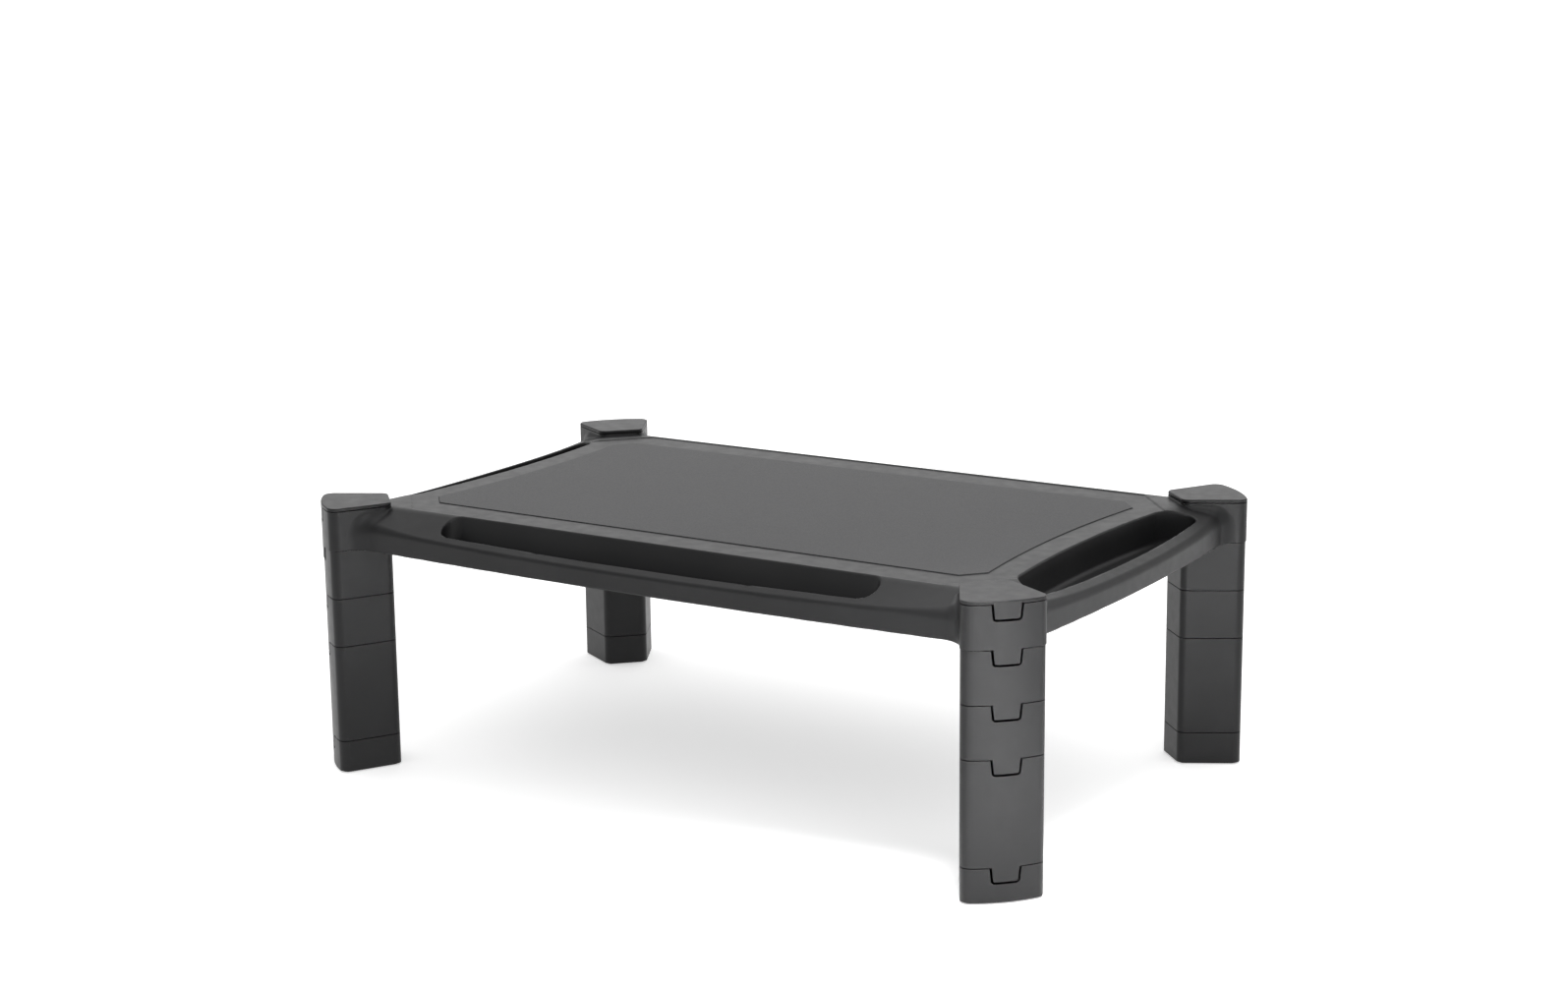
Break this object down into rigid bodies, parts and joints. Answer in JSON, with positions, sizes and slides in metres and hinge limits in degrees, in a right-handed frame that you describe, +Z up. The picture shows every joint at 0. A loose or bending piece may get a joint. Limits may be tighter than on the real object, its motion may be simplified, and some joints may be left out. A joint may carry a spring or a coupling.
{
  "type": "desk riser",
  "caption": "Moulded desk riser for a monitor or laptop, with a ribbed deck, a non-slip mat, two side pockets, a pen tray and columns of stacking push-fit modules.",
  "frame": {"origin": "on the floor under the middle of the platform", "axes": "+X to the user's right, -Y towards the user (the pen tray's side), +Z up"},
  "size_m": [0.4974, 0.3276, 0.1669],
  "materials": {
    "satin_plastic": "black moulded ABS with a fine satin grain",
    "mat_rubber": "dark grey-black foam rubber mat with a fine pebbled face",
    "pad_rubber": "matt black rubber"
  },
  "bodies": {
    "platform": {"platform": "satin_plastic", "mat": "mat_rubber"},
    "cap_front_left": {"cap_front_left": "satin_plastic"},
    "cap_front_right": {"cap_front_right": "satin_plastic"},
    "cap_rear_left": {"cap_rear_left": "satin_plastic"},
    "cap_rear_right": {"cap_rear_right": "satin_plastic"},
    "upper_riser_front_left": {"upper_riser_front_left": "satin_plastic"},
    "middle_riser_front_left": {"middle_riser_front_left": "satin_plastic"},
    "tall_riser_front_left": {"tall_riser_front_left": "satin_plastic"},
    "foot_front_left": {"foot_front_left": "satin_plastic", "pad_front_left": "pad_rubber"},
    "upper_riser_front_right": {"upper_riser_front_right": "satin_plastic"},
    "middle_riser_front_right": {"middle_riser_front_right": "satin_plastic"},
    "tall_riser_front_right": {"tall_riser_front_right": "satin_plastic"},
    "foot_front_right": {"foot_front_right": "satin_plastic", "pad_front_right": "pad_rubber"},
    "upper_riser_rear_left": {"upper_riser_rear_left": "satin_plastic"},
    "middle_riser_rear_left": {"middle_riser_rear_left": "satin_plastic"},
    "tall_riser_rear_left": {"tall_riser_rear_left": "satin_plastic"},
    "foot_rear_left": {"foot_rear_left": "satin_plastic", "pad_rear_left": "pad_rubber"},
    "upper_riser_rear_right": {"upper_riser_rear_right": "satin_plastic"},
    "middle_riser_rear_right": {"middle_riser_rear_right": "satin_plastic"},
    "tall_riser_rear_right": {"tall_riser_rear_right": "satin_plastic"},
    "foot_rear_right": {"foot_rear_right": "satin_plastic", "pad_rear_right": "pad_rubber"}
  },
  "joints": [
    {"name": "cap_lift_front_left", "type": "slide", "parent": "platform", "child": "cap_front_left", "axis": [0, 0, 1], "range_m": [0, 0.012]},
    {"name": "cap_lift_front_right", "type": "slide", "parent": "platform", "child": "cap_front_right", "axis": [0, 0, 1], "range_m": [0, 0.012]},
    {"name": "cap_lift_rear_left", "type": "slide", "parent": "platform", "child": "cap_rear_left", "axis": [0, 0, 1], "range_m": [0, 0.012]},
    {"name": "cap_lift_rear_right", "type": "slide", "parent": "platform", "child": "cap_rear_right", "axis": [0, 0, 1], "range_m": [0, 0.012]},
    {"name": "upper_snap_front_left", "type": "slide", "parent": "platform", "child": "upper_riser_front_left", "axis": [0, 0, -1], "range_m": [0, 0.016]},
    {"name": "middle_snap_front_left", "type": "slide", "parent": "upper_riser_front_left", "child": "middle_riser_front_left", "axis": [0, 0, -1], "range_m": [0, 0.016]},
    {"name": "tall_snap_front_left", "type": "slide", "parent": "middle_riser_front_left", "child": "tall_riser_front_left", "axis": [0, 0, -1], "range_m": [0, 0.016]},
    {"name": "foot_snap_front_left", "type": "slide", "parent": "tall_riser_front_left", "child": "foot_front_left", "axis": [0, 0, -1], "range_m": [0, 0.016]},
    {"name": "upper_snap_front_right", "type": "slide", "parent": "platform", "child": "upper_riser_front_right", "axis": [0, 0, -1], "range_m": [0, 0.016]},
    {"name": "middle_snap_front_right", "type": "slide", "parent": "upper_riser_front_right", "child": "middle_riser_front_right", "axis": [0, 0, -1], "range_m": [0, 0.016]},
    {"name": "tall_snap_front_right", "type": "slide", "parent": "middle_riser_front_right", "child": "tall_riser_front_right", "axis": [0, 0, -1], "range_m": [0, 0.016]},
    {"name": "foot_snap_front_right", "type": "slide", "parent": "tall_riser_front_right", "child": "foot_front_right", "axis": [0, 0, -1], "range_m": [0, 0.016]},
    {"name": "upper_snap_rear_left", "type": "slide", "parent": "platform", "child": "upper_riser_rear_left", "axis": [0, 0, -1], "range_m": [0, 0.016]},
    {"name": "middle_snap_rear_left", "type": "slide", "parent": "upper_riser_rear_left", "child": "middle_riser_rear_left", "axis": [0, 0, -1], "range_m": [0, 0.016]},
    {"name": "tall_snap_rear_left", "type": "slide", "parent": "middle_riser_rear_left", "child": "tall_riser_rear_left", "axis": [0, 0, -1], "range_m": [0, 0.016]},
    {"name": "foot_snap_rear_left", "type": "slide", "parent": "tall_riser_rear_left", "child": "foot_rear_left", "axis": [0, 0, -1], "range_m": [0, 0.016]},
    {"name": "upper_snap_rear_right", "type": "slide", "parent": "platform", "child": "upper_riser_rear_right", "axis": [0, 0, -1], "range_m": [0, 0.016]},
    {"name": "middle_snap_rear_right", "type": "slide", "parent": "upper_riser_rear_right", "child": "middle_riser_rear_right", "axis": [0, 0, -1], "range_m": [0, 0.016]},
    {"name": "tall_snap_rear_right", "type": "slide", "parent": "middle_riser_rear_right", "child": "tall_riser_rear_right", "axis": [0, 0, -1], "range_m": [0, 0.016]},
    {"name": "foot_snap_rear_right", "type": "slide", "parent": "tall_riser_rear_right", "child": "foot_rear_right", "axis": [0, 0, -1], "range_m": [0, 0.016]}
  ]
}
